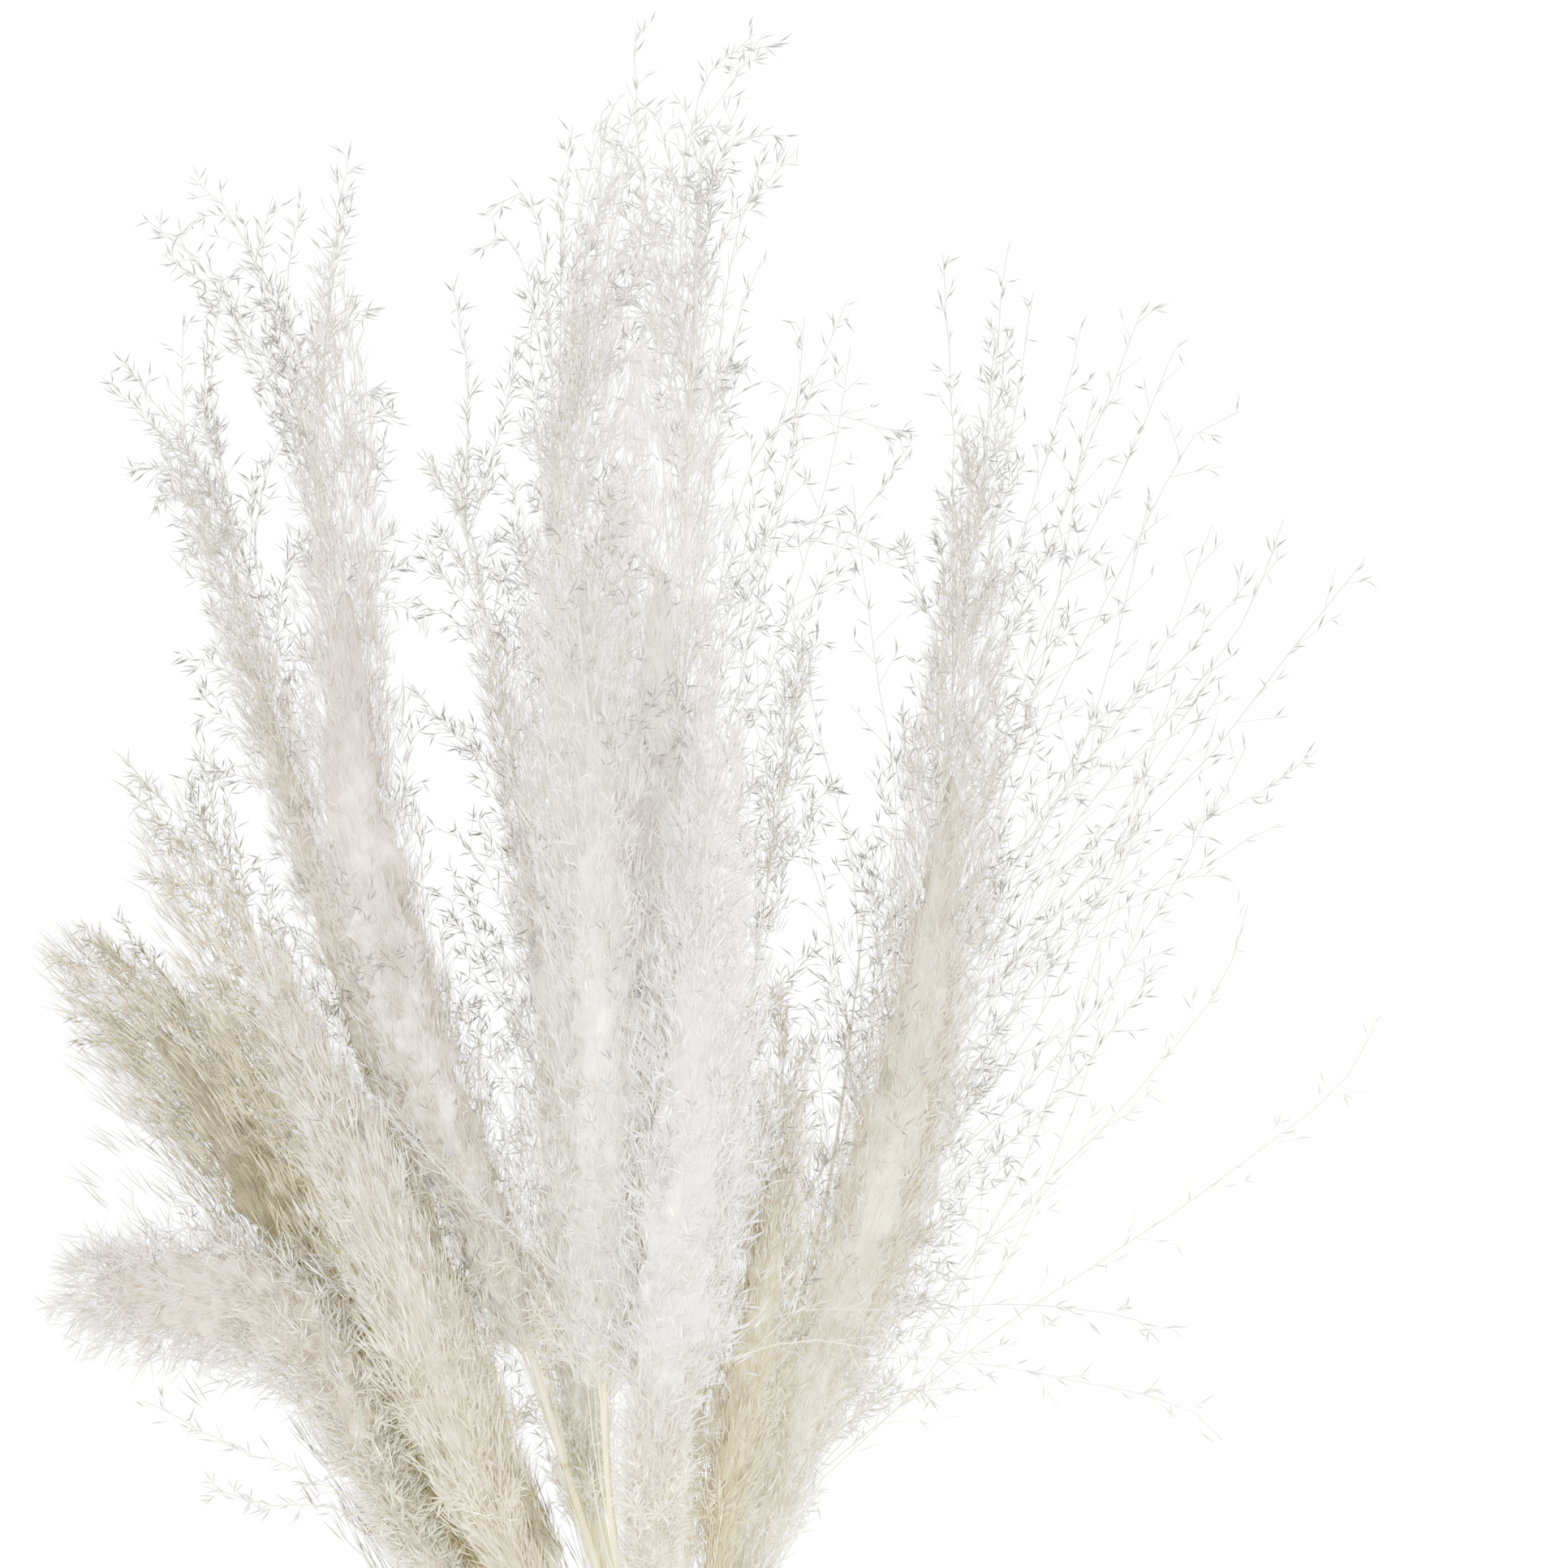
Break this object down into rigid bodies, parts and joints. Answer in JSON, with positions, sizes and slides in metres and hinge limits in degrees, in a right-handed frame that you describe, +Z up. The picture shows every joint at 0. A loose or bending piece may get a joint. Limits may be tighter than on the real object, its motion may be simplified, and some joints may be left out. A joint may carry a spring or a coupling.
{
  "type": "dried reed bunch",
  "caption": "Lying bunch of large feathery dried reeds, pale plumes fanned out on long straw stems that a wound twine tie holds together.",
  "frame": {"origin": "on the surface that the bunch lies on, under the middle of its box", "axes": "+X across the bunch, +Y from the cut stem ends to the plume tips, +Z up"},
  "size_m": [0.6293, 1.0743, 0.1892],
  "materials": {
    "plume_pale": "dry silky plume, off-white",
    "plume_beige": "dry silky plume, beige",
    "stem_straw": "dry straw stem, slightly glossy",
    "twine": "plain twisted plant fibre"
  },
  "bodies": {
    "root": {"reed_left_low": "plume_pale", "reed_left_inner": "plume_pale", "reed_right_short": "plume_beige", "reed_far_left_low": "plume_beige", "reed_centre_back": "plume_pale", "reed_right_slim": "plume_pale", "reed_right": "plume_pale", "reed_far_left": "plume_beige", "reed_left": "plume_pale", "reed_centre": "plume_pale", "reed_low_right": "plume_beige", "reed_drooping": "plume_beige", "reed_left_front": "plume_beige", "reed_centre_left": "plume_pale", "reed_centre_front": "plume_pale", "twine_tie": "twine"}
  },
  "joints": []
}
